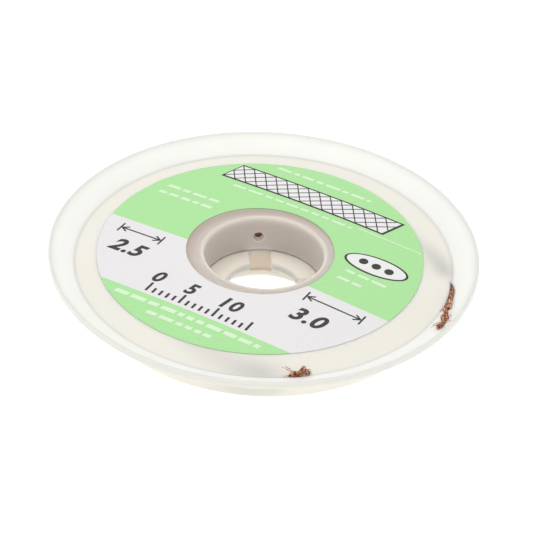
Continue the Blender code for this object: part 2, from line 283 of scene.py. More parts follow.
def spool_plastic(name, dark, light, tones_and_shade, depth):
    """Natural polypropylene, injection moulded: milky, waxy and soft-edged. What touches it from behind
    shows through as a brown-grey blur, painted into its colour together with the shade that the copper
    casts in it, which an attribute of the mesh holds. Its radial ramp paints shade and highlight lines
    as well."""
    material, tree, shader = new_material(
        name, Roughness=0.45, IOR=1.49, Subsurface_Weight=1.0, Subsurface_Radius=(1.0, 0.96, 0.92),
        Subsurface_Scale=depth)
    milky = mixed(tree, noise(tree, 9 * MM, 2.0, 0.5), hex_colour(dark), hex_colour(light))
    place = add_node(tree, "ShaderNodeTexCoord", {})
    flat = add_node(tree, "ShaderNodeVectorMath", {0: place.outputs["Object"], 1: (1.0, 1.0, 0.0)},
                    operation="MULTIPLY")
    radius = add_node(tree, "ShaderNodeVectorMath", {0: flat.outputs["Vector"]},
                      operation="LENGTH").outputs["Value"]
    # The radial ramp paints shade and highlight lines into the plastic's colour, as well as its own tone
    rings = add_node(tree, "ShaderNodeValToRGB", {"Fac": calculated(tree, "DIVIDE", radius, RIM_RADIUS)})
    stops = rings.color_ramp.elements
    while len(stops) < len(tones_and_shade):
        stops.new(0.5)
    for stop, (ring, tone) in zip(stops, tones_and_shade):
        stop.position = ring * MM / RIM_RADIUS
        stop.color = hex_colour(tone)
    toned_and_shaded = mixed(tree, 1.0, milky, rings.outputs["Color"], blend_type="MULTIPLY")
    # The copper behind the plastic and the shade it casts in it are painted into the colour: brown-grey
    # near the hub, grey-blue further out
    near = add_node(tree, "ShaderNodeAttribute", {}, attribute_name="copper_and_shade_near")
    outward = add_node(tree, "ShaderNodeMapRange", {
        "Value": radius, "From Min": 12.0 * MM, "From Max": 20.0 * MM})
    blurred = mixed(tree, outward.outputs["Result"], hex_colour("#8F7268"), hex_colour("#808487"))
    tinted_and_shaded = mixed(tree, near.outputs["Fac"], toned_and_shaded, blurred)
    tree.links.new(tinted_and_shaded, shader.inputs["Base Color"])
    add_bump(tree, shader, noise(tree, 0.35 * MM, 3.0, 0.6), 0.06, 0.02 * MM)
    return material


def label_paper():
    """Coated white paper, offset printed with two green fields, with a faint paper mottle."""
    material, tree, shader = new_material("coated label paper, printed green", Roughness=0.48, IOR=1.5)
    place = add_node(tree, "ShaderNodeTexCoord", {})
    upward = add_node(tree, "ShaderNodeVectorMath", {0: place.outputs["Object"], 1: PRINT_UP},
                      operation="DOT_PRODUCT").outputs["Value"]
    centre_line = PRINT_UP.dot(LABEL_CENTRE)
    above = calculated(tree, "GREATER_THAN", upward, centre_line + WHITE_BAND_TOP)
    below = calculated(tree, "LESS_THAN", upward, centre_line + WHITE_BAND_BOTTOM)
    mottle = noise(tree, 0.5 * MM, 4.0, 0.7)
    paper = mixed(tree, mottle, hex_colour("#DEDCDC"), hex_colour("#EAE8E9"))
    print_green = mixed(tree, mottle, hex_colour("#A3DB92"), hex_colour("#B0E5A1"))
    colour = mixed(tree, calculated(tree, "ADD", above, below), paper, print_green)
    tree.links.new(colour, shader.inputs["Base Color"])
    add_bump(tree, shader, mottle, 0.08, 0.01 * MM)
    return material


def printing_ink(name, dark, light):
    """Offset printing ink: a thin satin film, a little uneven where the paper takes it."""
    material, tree, shader = new_material(name, Roughness=0.5, IOR=1.5)
    tone = mixed(tree, noise(tree, 0.4 * MM, 3.0, 0.6), hex_colour(dark), hex_colour(light))
    tree.links.new(tone, shader.inputs["Base Color"])
    return material


def copper_wire():
    """Bare copper wire with dried flux, in random blotches: bright where it is rubbed, red-brown where
    it has tarnished, in a contrast raised to paint the glints and shade of the wires as well.
    """
    material, tree, shader = new_material("bare copper wire with flux", Metallic=1.0)
    tarnish_and_glints = noise(tree, 0.36 * MM, 3.0, 0.6)
    ramp = add_node(tree, "ShaderNodeValToRGB", {"Fac": tarnish_and_glints})
    # Its dark and bright ends paint the wires' shade and glints as well as tarnish and rubbed copper
    for stop, position, tone in zip(ramp.color_ramp.elements, (0.42, 0.58), ("#864830", "#FFCAA8")):
        stop.position = position
        stop.color = hex_colour(tone)
    tree.links.new(ramp.outputs["Color"], shader.inputs["Base Color"])
    rough = add_node(tree, "ShaderNodeMapRange", {"Value": tarnish_and_glints, "To Min": 0.5, "To Max": 0.25})
    tree.links.new(rough.outputs["Result"], shader.inputs["Roughness"])
    return material


def copper_weave():
    """The coiled braid's face: the same copper, with its plaited strands as a pattern on its own
    lengthwise and crosswise coordinates, which count steps along the strip and millimetres across it."""
    material, tree, shader = new_material("flat copper braid, woven", Metallic=1.0, Roughness=0.4)
    lengths = add_node(tree, "ShaderNodeUVMap", {}, uv_map="braid")
    leaning = []
    for turn in (1.0, -1.0):
        slanted = add_node(tree, "ShaderNodeMapping", {
            "Vector": lengths.outputs["UV"], "Rotation": (0.0, 0.0, turn * math.radians(52.0))})
        strands = add_node(tree, "ShaderNodeTexWave", {
            "Vector": slanted.outputs["Vector"], "Scale": 1.6, "Distortion": 0.4}, wave_profile="SIN")
        leaning.append(strands.outputs["Fac"])
    weave = calculated(tree, "MAXIMUM", *leaning)
    tone = mixed(tree, weave, hex_colour("#5C2C1C"), hex_colour("#D08A62"))
    tree.links.new(tone, shader.inputs["Base Color"])
    add_bump(tree, shader, weave, 0.7, 0.08 * MM)
    return material


# Mesh helpers

def add_piece(name, mesh, material):
    """A finished piece of the part, on its body and in its material slot."""
    piece = bpy.data.objects.new(name, mesh)
    bpy.context.scene.collection.objects.link(piece)
    mesh.materials.clear()
    mesh.materials.append(material)
    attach(piece, "root")
    return piece


def mesh_from(shape, name):
    """A smooth-shaded mesh from a bmesh, with its sharp edges kept."""
    mesh = bpy.data.meshes.new(name)
    shape.to_mesh(mesh)
    shape.free()
    mesh.shade_smooth()
    mesh.set_sharp_from_angle(angle=SHARP_ANGLE)
    return mesh


def turned(corners):
    """A ring turned from a closed outline of corners (radius, height, rounding)."""
    shape = bmesh.new()
    verts = [shape.verts.new((radius, 0.0, height)) for radius, height, rounding in corners]
    edges = [shape.edges.new((verts[index - 1], vert)) for index, vert in enumerate(verts)]
    bmesh.ops.spin(shape, geom=verts + edges, axis=(0, 0, 1), cent=(0, 0, 0), angle=2 * math.pi,
                   steps=STEPS, use_merge=True)
    bmesh.ops.remove_doubles(shape, verts=shape.verts[:], dist=0.001 * MM)
    bmesh.ops.recalc_face_normals(shape, faces=shape.faces[:])
    for radius, height, rounding in corners:
        if rounding == 0:
            continue
        ring = [edge for edge in shape.edges
                if all(on_ring(vert, radius, height) for vert in edge.verts)]
        bmesh.ops.bevel(shape, geom=ring, offset=rounding, offset_type="OFFSET", affect="EDGES",
                        segments=FILLET_STEPS, profile=0.5, material=-1, clamp_overlap=True)
    return shape


def cut_finely(shape, longest):
    """Cuts a turned shape's long edges across, so that what shows through it can be coloured."""
    groups = {}
    for edge in shape.edges:
        first, second = (vert.co for vert in edge.verts)
        level = abs(first.xy.length - second.xy.length) + abs(first.z - second.z)
        cuts = int(edge.calc_length() / longest)
        if cuts > 0 and level > 0.01 * MM:
            groups.setdefault(cuts, []).append(edge)
    for cuts, edges in groups.items():
        still = [edge for edge in edges if edge.is_valid]
        bmesh.ops.subdivide_edges(shape, edges=still, cuts=cuts, use_grid_fill=True)


def on_ring(vert, radius, height):
    """Whether a vert lies on the ring at a radius and height."""
    near = 0.002 * MM
    return abs(math.hypot(vert.co.x, vert.co.y) - radius) < near and abs(vert.co.z - height) < near


def combined(mesh, other_shapes, operation):
    """A mesh after its Booleans with other shapes, which then are gone."""
    item = bpy.data.objects.new("work", mesh)
    bpy.context.scene.collection.objects.link(item)
    others = []
    for shape in other_shapes:
        other = bpy.data.objects.new("other", mesh_from(shape, "other"))
        bpy.context.scene.collection.objects.link(other)
        modifier = item.modifiers.new("join or cut", "BOOLEAN")
        modifier.operation = operation
        modifier.solver = "EXACT"
        modifier.object = other
        others.append(other)
    seen = item.evaluated_get(bpy.context.evaluated_depsgraph_get())
    result = bpy.data.meshes.new_from_object(seen)
    for gone in (item, *others):
        bpy.data.objects.remove(gone)
    result.shade_smooth()
    result.set_sharp_from_angle(angle=SHARP_ANGLE)
    return result


def box_shape(size, place):
    """A box of a size, at a place given as a matrix."""
    shape = bmesh.new()
    bmesh.ops.create_cube(shape, size=1.0, matrix=place @ Matrix.Diagonal((*size, 1.0)))
    return shape


# Braid paths

def spline(knots, place):
    """The knots' values at a place between 0 and 1, on a Catmull-Rom curve."""
    spans = len(knots) - 1
    span = min(int(place * spans), spans - 1)
    local = place * spans - span
    around = [knots[max(0, min(spans, span + offset))] for offset in (-1, 0, 1, 2)]
    values = []
    for before, first, second, after in zip(*around):
        slope_in = (second - before) / 2
        slope_out = (after - first) / 2
        bend = 3 * (second - first) - 2 * slope_in - slope_out
        twist = 2 * (first - second) + slope_in + slope_out
        values.append(first + slope_in * local + bend * local ** 2 + twist * local ** 3)
    return values


def on_path(knots, place, across, through):
    """A point of a strip through knots of (angle, radius mm, height mm, lean), across and through it."""
    angle, radius, height, lean = spline(knots, place)
    tilt = math.radians(lean)
    turn = math.radians(angle)
    out = radius * MM + across * math.cos(tilt) - through * math.sin(tilt)
    up = height * MM + across * math.sin(tilt) + through * math.cos(tilt)
    return Vector((out * math.cos(turn), out * math.sin(turn), up))


# The braid's inner end lies flat under the disc, rises through the slot on the right and leans on
# the flared rim
START_KNOTS = [
    (72.0, 12.0, 6.5, 0.0),
    (58.0, 13.1, 6.95, 0.0),
    (42.0, 15.7, 7.0, 0.0),
    (25.0, 19.0, 6.82, 0.0),
    (11.0, 21.5, 6.82, 0.0),
    (2.0, 22.9, 6.8, 12.0),
    (-5.5, 24.05, 7.05, 52.0),
    (-11.5, 24.7, 7.7, 62.0),
    (-17.0, 25.05, 8.15, 62.0),
    (-22.5, 25.42, 8.6, 52.0),
]
# The share of its path that lies under the plastic
START_HIDDEN = 0.64
# Past its plaited part it is frayed into a tangle
START_TANGLE = [
    (-22.0, 25.4, 8.78, 38.0),
    (-25.0, 25.82, 9.0, 36.0),
    (-27.5, 26.1, 9.15, 34.0),
    (-30.5, 26.42, 9.32, 32.0),
    (-33.8, 26.75, 9.5, 30.0),
]
START_TANGLE_WIDTHS = [0.62, 0.36, 0.58, 0.42, 0.36]

# Its outer end leaves the coil standing, leans on the cup's wall and rises through the front slot
FINISH_KNOTS = [
    (-172.0, 13.9, 5.5, 90.0),
    (-155.0, 14.6, 5.5, 90.0),
    (-138.0, 16.3, 5.85, 84.0),
    (-122.0, 18.5, 6.15, 76.0),
    (-108.0, 20.9, 6.3, 66.0),
    (-97.0, 22.8, 6.3, 60.0),
    (-90.0, 23.5, 6.35, 58.0),
    (-84.5, 24.05, 6.85, 62.0),
    (-80.5, 24.3, 7.3, 76.0),
    (-77.5, 24.42, 7.6, 84.0),
]
FINISH_HIDDEN = 0.76
FINISH_TANGLE = [
    (-81.4, 24.4, 7.95, 85.0),
    (-79.9, 24.4, 8.3, 85.0),
    (-78.4, 24.4, 8.4, 85.0),
    (-76.9, 24.4, 8.7, 85.0),
    (-75.0, 24.45, 8.25, 85.0),
]
FINISH_TANGLE_WIDTHS = [0.25, 0.45, 0.42, 0.66, 0.28]

# Single wires that stand off, each through knots of (angle, radius mm, height mm)
LOOSE_WIRES = [
    [(-25.5, 25.6, 9.0), (-24.6, 25.1, 9.0), (-23.9, 24.9, 8.75), (-24.6, 24.85, 8.6)],
    [(-30.5, 26.2, 9.25), (-31.2, 25.7, 9.0), (-31.3, 25.3, 8.55)],
    [(-29.5, 26.3, 9.4), (-30.1, 26.8, 9.45), (-29.1, 27.2, 9.6)],
    [(-32.0, 26.4, 9.5), (-33.6, 26.0, 9.45), (-34.2, 25.8, 9.2)],
    [(-27.0, 26.2, 9.3), (-26.3, 26.6, 9.4), (-27.2, 26.9, 9.5)],
    [(-80.2, 24.4, 8.4), (-81.5, 24.3, 8.95), (-82.4, 24.2, 9.15), (-83.3, 24.15, 9.35)],
    [(-80.0, 24.4, 8.5), (-81.0, 24.35, 9.1), (-82.3, 24.3, 9.5)],
    [(-80.9, 24.5, 8.1), (-82.2, 24.6, 8.25), (-83.0, 24.7, 8.15)],
    [(-76.3, 24.4, 8.5), (-75.2, 24.5, 8.6), (-74.6, 24.6, 8.3)],
    [(-76.4, 24.4, 8.6), (-75.4, 24.45, 8.95), (-74.8, 24.5, 8.75)],
    [(-78.0, 24.4, 8.9), (-77.2, 24.4, 9.5), (-76.4, 24.4, 9.25)],
]


def strip_shape(knots, width, thickness, steps):
    """A plain strip bent along knots: a cube cut into steps, which its braid map counts."""
    shape = bmesh.new()
    bmesh.ops.create_cube(shape, size=1.0)
    lengthwise = [edge for edge in shape.edges if abs(edge.verts[0].co.x - edge.verts[1].co.x) > 0.5]
    bmesh.ops.subdivide_edges(shape, edges=lengthwise, cuts=steps - 1, use_grid_fill=True)
    lengths = shape.loops.layers.uv.new("braid")
    for face in shape.faces:
        for loop in face.loops:
            around = loop.vert.co.y + loop.vert.co.z
            loop[lengths].uv = ((loop.vert.co.x + 0.5) * steps, around * width / MM)
    for vert in shape.verts:
        vert.co = on_path(knots, vert.co.x + 0.5, vert.co.y * width, vert.co.z * thickness)
    shape.normal_update()
    bmesh.ops.recalc_face_normals(shape, faces=shape.faces[:])
    return shape


def wires_mesh(lines, radius):
    """Round wires along lists of points, as one mesh."""
    curve = bpy.data.curves.new("wires", "CURVE")
    curve.dimensions = "3D"
    curve.bevel_depth = radius
    curve.bevel_resolution = 0
    curve.use_fill_caps = True
    for line in lines:
        run = curve.splines.new("POLY")
        run.points.add(len(line) - 1)
        for point, place in zip(run.points, line):
            point.co = (*place, 1.0)
    item = bpy.data.objects.new("wires", curve)
    bpy.context.scene.collection.objects.link(item)
    mesh = bpy.data.meshes.new_from_object(item.evaluated_get(bpy.context.evaluated_depsgraph_get()))
    bpy.data.objects.remove(item)
    bpy.data.curves.remove(curve)
    shape = bmesh.new()
    shape.from_mesh(mesh)
    bmesh.ops.remove_doubles(shape, verts=shape.verts[:], dist=0.0001 * MM)
    bmesh.ops.recalc_face_normals(shape, faces=shape.faces[:])
    shape.to_mesh(mesh)
    shape.free()
    mesh.shade_smooth()
    return mesh


def plaited_lines(knots, length):
    """The wires of a flat plaited braid along knots: carriers go round a flattened tube both ways
    and pass over and under each other."""
    lines = []
    steps = int(length / (0.16 * MM))
    half_width = BRAID_WIDTH / 2 - 2 * WIRE_RADIUS
    half_thickness = BRAID_THICKNESS / 2 - 2 * WIRE_RADIUS
    for carrier in range(CARRIERS):
        way = 1 if carrier % 2 else -1
        for wire in range(WIRES):
            line = []
            for step in range(steps + 1):
                place = step / steps
                run = place * length
                turn = way * 2 * math.pi * (run / BRAID_PITCH + carrier / CARRIERS)
                side = (wire - (WIRES - 1) / 2) * 2.1 * WIRE_RADIUS / half_width
                weave = math.cos(CARRIERS / 2 * turn) * 1.8 * WIRE_RADIUS * way
                across = (half_width + 0.4 * weave) * math.sin(turn + side)
                through = (half_thickness * 0.72 + weave) * math.cos(turn + side)
                line.append(on_path(knots, place, across, through))
            lines.append(line)
    return lines


def tangled_lines(knots, half_widths, length, count, chance):
    """Frayed wires that wander along knots, round each other, each with an end of its own."""
    lines = []
    for wire in range(count):
        reach = 1.0 if wire % 3 == 0 else chance.uniform(0.45, 0.95)
        start = chance.uniform(0.0, 0.25)
        around = chance.uniform(0.0, 2 * math.pi)
        turns = chance.uniform(-1.3, 1.3)
        depth = chance.uniform(0.25, 1.0)
        waves = [(chance.uniform(2.0, 6.0), chance.uniform(0.0, 2 * math.pi)) for axis in range(2)]
        steps = int(length * (reach - start) / (0.12 * MM))
        line = []
        for step in range(steps + 1):
            place = start + (reach - start) * step / steps
            wide = spline([(width,) for width in half_widths], place)[0] * MM
            angle = around + turns * 2 * math.pi * place
            sway = [math.sin(2 * math.pi * rate * place + phase) * 0.22 * wide for rate, phase in waves]
            across = depth * wide * math.cos(angle) + sway[0]
            through = depth * wide * 0.5 * math.sin(angle) + sway[1]
            line.append(on_path(knots, place, across, through))
        lines.append(line)
    return lines


def loops_at(knots, place, radius, count, chance):
    """Small open loops of wire, as a cut end curls."""
    lines = []
    for loop in range(count):
        centre = on_path(knots, place, chance.uniform(-0.2, 0.2) * MM, chance.uniform(-0.1, 0.15) * MM)
        tilt = Matrix.Rotation(chance.uniform(-0.7, 0.7), 3, "X")
        tilt = tilt @ Matrix.Rotation(chance.uniform(-0.7, 0.7), 3, "Y")
        size = radius * chance.uniform(0.7, 1.1)
        line = []
        for step in range(15):
            turn = 1.75 * math.pi * step / 14 + loop
            line.append(centre + tilt @ Vector((math.cos(turn), math.sin(turn), 0.15 * turn)) * size)
        lines.append(line)
    return lines


def loose_lines(steps=10):
    """The single wires that stand off, as smooth lines of points."""
    lines = []
    for knots in LOOSE_WIRES:
        line = []
        for step in range(steps + 1):
            angle, radius, height = spline(knots, step / steps)
            turn = math.radians(angle)
            line.append(Vector((radius * math.cos(turn), radius * math.sin(turn), height)) * MM)
        lines.append(line)
    return lines


# What shows through the spool

def copper_spots():
    """Places all over the copper behind the plastic, the area that each stands for, and its blur."""
    places, areas, blurs = [], [], []
    low, high = COIL_TOP - COIL_HEIGHT, COIL_TOP
    rings = [(radius, height) for radius in (COIL_INNER_RADIUS, COIL_RADIUS)
             for height in (low + SPOT_SIZE / 2, high - SPOT_SIZE / 2)]
    for count in range(int((COIL_RADIUS - COIL_INNER_RADIUS) / SPOT_SIZE)):
        rings += [(COIL_INNER_RADIUS + (count + 0.5) * SPOT_SIZE, height) for height in (low, high)]
    for radius, height in rings:
        spots = round(2 * math.pi * radius / SPOT_SIZE)
        for spot in range(spots):
            turn = 2 * math.pi * spot / spots
            places.append((radius * math.cos(turn), radius * math.sin(turn), height))
            areas.append(SPOT_SIZE * 2 * math.pi * radius / spots)
            blurs.append(COIL_BLUR)
    for knots, hidden, blur in ((START_KNOTS, START_HIDDEN, START_BLUR),
                                (FINISH_KNOTS, FINISH_HIDDEN, FINISH_BLUR)):
        for spot in range(SPOTS_PER_END):
            for across in (-BRAID_WIDTH / 4, BRAID_WIDTH / 4):
                places.append(tuple(on_path(knots, hidden * (spot + 0.5) / SPOTS_PER_END, across, 0.0)))
                areas.append(SPOT_SIZE * BRAID_WIDTH / 2)
                blurs.append(blur)
    return numpy.array(places), numpy.array(areas), numpy.array(blurs)


def show_copper(mesh, most, share_in_bore):
    """Writes how much copper shows at each face corner of a mesh, blurred as milky plastic blurs it: a
    painted see-through of the copper together with the shade that it casts in the plastic. Less of it is
    painted in the bore, whose own shape shades it, least at the tube's end, and on the flared rim, which
    stand clear, and none in the anchor hole."""
    places, areas, blurs = copper_spots()
    points = numpy.empty(3 * len(mesh.vertices), dtype=numpy.float32)
    mesh.vertices.foreach_get("co", points)
    points = points.reshape(-1, 3).astype(float)
    near = []
    for part in numpy.array_split(points, 1 + len(points) // 2000):
        apart = ((part[:, None, :] - places[None, :, :]) ** 2).sum(axis=2)
        near.append((numpy.exp(-apart / blurs ** 2) * areas / (math.pi * blurs ** 2)).sum(axis=1))
    shown = numpy.minimum(COPPER_GAIN * numpy.concatenate(near), most)
    radii = numpy.hypot(points[:, 0], points[:, 1])
    margin = 0.1 * MM
    shown[radii < LIP_RADIUS - margin] *= share_in_bore
    shown[(radii < LIP_RADIUS) & (points[:, 2] < FLOOR_TOP + margin)] *= SHARE_AT_TUBE_END
    shown[radii > CORNER_RADIUS + margin] *= SHARE_ON_RIM
    corners = numpy.empty(len(mesh.loops), dtype=numpy.int32)
    mesh.loops.foreach_get("vertex_index", corners)
    values = shown[corners]
    axis = Vector((math.cos(ANCHOR_HOLE_ANGLE), math.sin(ANCHOR_HOLE_ANGLE), 0.0))
    inside = margin / 2
    for face in mesh.polygons:
        out = face.center.dot(axis)
        beside = (face.center - axis * out - Vector((0.0, 0.0, ANCHOR_HOLE_HEIGHT))).length
        if beside < 1.2 * ANCHOR_HOLE_RADIUS and BORE_RADIUS + inside < out < TUBE_RADIUS - inside:
            values[face.loop_start:face.loop_start + face.loop_total] = 0.0
    layer = mesh.attributes.new("copper_and_shade_near", "FLOAT", "CORNER")
    layer.data.foreach_set("value", values)


# The spool

def upper_half_mesh():
    """The disc with its flared rim, lip and hub tube, both slots and the anchor hole."""
    underside = disc_top(UNDERSIDE_CORNER_RADIUS) - WALL
    lip_top = disc_top(LIP_FOOT_RADIUS) + LIP_HEIGHT
    shape = turned([
        (RIM_RADIUS, cone_top(RIM_RADIUS), 0.30 * MM),
        (RIM_RADIUS, cone_top(RIM_RADIUS) - RIM_DEPTH, 0.30 * MM),
        (UNDERSIDE_CORNER_RADIUS, underside, 0.5 * MM),
        (TUBE_RADIUS, disc_top(TUBE_RADIUS) - WALL, 0.3 * MM),
        (TUBE_RADIUS, FLOOR_TOP, 0.0),
        (BORE_RADIUS, FLOOR_TOP, 0.0),
        (BORE_RADIUS, lip_top, 0.38 * MM),
        (LIP_RADIUS, lip_top, 0.26 * MM),
        (LIP_FOOT_RADIUS, disc_top(LIP_FOOT_RADIUS), 0.30 * MM),
        (CORNER_RADIUS, TOP_AT_CORNER, 0.45 * MM),
    ])
    cut_finely(shape, SPOOL_CUT)
    mesh = mesh_from(shape, "upper_half")
    cutters = [strip_shape(knots, BRAID_WIDTH + 2 * SLOT_ROOM, BRAID_THICKNESS + 2 * SLOT_ROOM, 60)
               for knots in (START_KNOTS, FINISH_KNOTS)]
    mesh = combined(mesh, [*cutters, anchor_hole()], "DIFFERENCE")
    show_copper(mesh, most=0.5, share_in_bore=0.74)
    return mesh


def anchor_hole():
    """A tapered pin through the hub tube, as the hole's cutter."""
    hole = bmesh.new()
    radius = (BORE_RADIUS + TUBE_RADIUS) / 2
    centre = (radius * math.cos(ANCHOR_HOLE_ANGLE), radius * math.sin(ANCHOR_HOLE_ANGLE),
              ANCHOR_HOLE_HEIGHT)
    place = Matrix.Translation(centre)
    place = place @ Matrix.Rotation(ANCHOR_HOLE_ANGLE, 4, "Z") @ Matrix.Rotation(math.pi / 2, 4, "Y")
    wider = ANCHOR_HOLE_TAPER * (ANCHOR_HOLE_DEPTH + BORE_RADIUS - TUBE_RADIUS) / 2
    bmesh.ops.create_cone(hole, cap_ends=True, segments=32, radius1=ANCHOR_HOLE_RADIUS + wider,
                          radius2=ANCHOR_HOLE_RADIUS + wider - ANCHOR_HOLE_TAPER * ANCHOR_HOLE_DEPTH,
                          depth=ANCHOR_HOLE_DEPTH, matrix=place)
    return hole


def lower_half_mesh():
    """The cup with its flared wall, the keyed plate and the foot ring."""
    wall_top = cone_top(WALL_TOP_RADIUS) - WALL_TOP_DROP
    flare = WALL_TOP_RADIUS - FLOOR_RADIUS
    rise = wall_top - FOOT_HEIGHT
    inner_floor_radius = FLOOR_RADIUS - CUP_WALL + flare * (FLOOR_TOP - FOOT_HEIGHT) / rise
    inner_top = TOP_AT_CORNER - WALL - INNER_TOP_DROP
    inner_top_radius = inner_floor_radius + flare * (inner_top - FLOOR_TOP) / rise
    ledge_radius = BORE_RADIUS - FOOT_LEDGE_WIDTH
    shape = turned([
        (WALL_TOP_RADIUS, wall_top, 0.08 * MM),
        (FLOOR_RADIUS, FOOT_HEIGHT, 0.5 * MM),
        (FOOT_RADIUS, FOOT_HEIGHT, 0.3 * MM),
        (FOOT_RADIUS, 0.0, 0.15 * MM),
        (ledge_radius, 0.0, 0.15 * MM),
        (ledge_radius, FOOT_LEDGE_HEIGHT, 0.1 * MM),
        (BORE_RADIUS, FOOT_LEDGE_HEIGHT, 0.0),
        (BORE_RADIUS, FLOOR_TOP, 0.0),
        (inner_floor_radius, FLOOR_TOP, 0.5 * MM),
        (inner_top_radius, inner_top, 0.0),
        (UNDERSIDE_CORNER_RADIUS, inner_top, 0.0),
    ])
    cut_finely(shape, SPOOL_CUT)
    mesh = combined(mesh_from(shape, "lower_half"), [keyed_plate()], "UNION")
    show_copper(mesh, most=0.25, share_in_bore=0.3)
    return mesh


def keyed_plate():
    """The plate across the hub: a round hole with four keyways, and tabs with rounded corners."""
    top = FLOOR_TOP - TAB_DROP
    rooted = (BORE_RADIUS + FOOT_RADIUS) / 2
    bottom = top - TAB_THICKNESS
    plate = mesh_from(turned([(rooted, top, 0.0), (rooted, bottom, 0.0), (TAB_INNER_RADIUS, bottom, 0.0),
                              (TAB_INNER_RADIUS, top, 0.0)]), "plate")
    middle = Matrix.Translation((0, 0, top - TAB_THICKNESS / 2))
    keyways = [box_shape((3 * BORE_RADIUS, KEYWAY_WIDTH, 3 * TAB_THICKNESS),
                         middle @ Matrix.Rotation(turn, 4, "Z"))
               for turn in (KEYWAY_ANGLE, KEYWAY_ANGLE + math.pi / 2)]
    plate = combined(plate, keyways, "DIFFERENCE")
    shape = bmesh.new()
    shape.from_mesh(plate)
    bmesh.ops.remove_doubles(shape, verts=shape.verts[:], dist=0.001 * MM)
    upright = []
    for edge in shape.edges:
        first, second = (vert.co for vert in edge.verts)
        sharp = len(edge.link_faces) == 2 and edge.calc_face_angle() > math.radians(40.0)
        at_hole = first.xy.length < TAB_INNER_RADIUS + 0.1 * MM
        if sharp and at_hole and (first - second).xy.length < 0.01 * MM:
            upright.append(edge)
    bmesh.ops.bevel(shape, geom=upright, offset=TAB_CORNER, offset_type="OFFSET", affect="EDGES",
                    segments=FILLET_STEPS, profile=0.5, material=-1)
    bpy.data.meshes.remove(plate)
    return shape


# The label and its print

def label_mesh():
    """The paper ring, off the axis and lying on the disc's gentle slope."""
    def face(radius):
        return disc_top(radius) + LABEL_THICKNESS

    shape = turned([
        (LABEL_RADIUS, face(LABEL_RADIUS), 0.0),
        (LABEL_RADIUS, disc_top(LABEL_RADIUS), 0.0),
        (LABEL_HOLE_RADIUS, disc_top(LABEL_HOLE_RADIUS), 0.0),
        (LABEL_HOLE_RADIUS, face(LABEL_HOLE_RADIUS), 0.0),
    ])
    cut_finely(shape, LABEL_CUT)
    for vert in shape.verts:
        lift = vert.co.z - disc_top(vert.co.xy.length)
        vert.co.xy += LABEL_CENTRE.xy
        vert.co.z = disc_top(vert.co.xy.length) + lift
    return mesh_from(shape, "label_ring")


def label_height(place):
    """Height of the label's face at a place in plan."""
    return disc_top(Vector(place).xy.length) + LABEL_THICKNESS


def printed(shapes, layer):
    """Flat print drawn in label millimetres (along, up), laid on the label as a thin film."""
    whole = bmesh.new()
    for shape in shapes:
        bmesh.ops.triangulate(shape, faces=shape.faces[:])
        flat = bpy.data.meshes.new("print")
        shape.to_mesh(flat)
        shape.free()
        whole.from_mesh(flat)
        bpy.data.meshes.remove(flat)
    bmesh.ops.recalc_face_normals(whole, faces=whole.faces[:])
    for face in whole.faces:
        if face.normal.z < 0:
            face.normal_flip()
    raised = bmesh.ops.extrude_face_region(whole, geom=whole.faces[:])
    top = [item for item in raised["geom"] if isinstance(item, bmesh.types.BMVert)]
    bmesh.ops.translate(whole, verts=top, vec=(0, 0, 1))
    for vert in whole.verts:
        along, up, level = vert.co
        place = LABEL_CENTRE + PRINT_ALONG * along * MM + PRINT_UP * up * MM
        lift = (layer + level) * INK_THICKNESS
        vert.co = (place.x, place.y, label_height(place) + lift)
    bmesh.ops.recalc_face_normals(whole, faces=whole.faces[:])
    return mesh_from(whole, "print")


def bar(left, right, bottom, top, slant=0.0):
    """A filled four-sided bar, cut across every millimetre so that it follows the label."""
    shape = bmesh.new()
    size = Matrix.Diagonal((right - left, top - bottom, 1.0, 1.0))
    middle = Matrix.Translation(((left + right) / 2, (bottom + top) / 2, 0.0))
    bmesh.ops.create_grid(shape, x_segments=max(1, round(right - left)),
                          y_segments=max(1, round(top - bottom)), size=0.5, matrix=middle @ size)
    for vert in shape.verts:
        vert.co.x += slant * (vert.co.y - bottom)
    return shape


def oval(centre, half_length, half_height, slant=0.0):
    """A filled ellipse, which may lean."""
    shape = bmesh.new()
    bmesh.ops.create_circle(shape, cap_ends=True, cap_tris=True, segments=72, radius=1.0)
    for vert in shape.verts:
        vert.co.y *= half_height
        vert.co.x = centre[0] + vert.co.x * half_length + slant * vert.co.y
        vert.co.y += centre[1]
    return shape


def stroke(first, last, width):
    """A straight line of ink between two places."""
    along = Vector(last) - Vector(first)
    shape = bmesh.new()
    middle = (Vector(first) + Vector(last)) / 2
    place = Matrix.Translation((*middle, 0.0)) @ Matrix.Rotation(math.atan2(along.y, along.x), 4, "Z")
    bmesh.ops.create_grid(shape, x_segments=max(1, round(along.length)), y_segments=1, size=0.5,
                          matrix=place @ Matrix.Diagonal((along.length, width, 1.0, 1.0)))
    return shape


def figures(text, place, height, weight, slant):
    """Printed figures, whose lower left corner is at a place, in label millimetres."""
    curve = bpy.data.curves.new("figures", "FONT")
    curve.body = text
    curve.size = height / FIGURE_SHARE_OF_FONT_SIZE
    curve.offset = weight
    curve.shear = slant
    curve.space_character = 1.12
    curve.resolution_u = 6
    item = bpy.data.objects.new("figures", curve)
    bpy.context.scene.collection.objects.link(item)
    mesh = bpy.data.meshes.new_from_object(item.evaluated_get(bpy.context.evaluated_depsgraph_get()))
    bpy.data.objects.remove(item)
    bpy.data.curves.remove(curve)
    shape = bmesh.new()
    shape.from_mesh(mesh)
    bmesh.ops.remove_doubles(shape, verts=shape.verts[:], dist=0.0001)
    bmesh.ops.translate(shape, verts=shape.verts[:], vec=(*place, 0.0))
    return shape


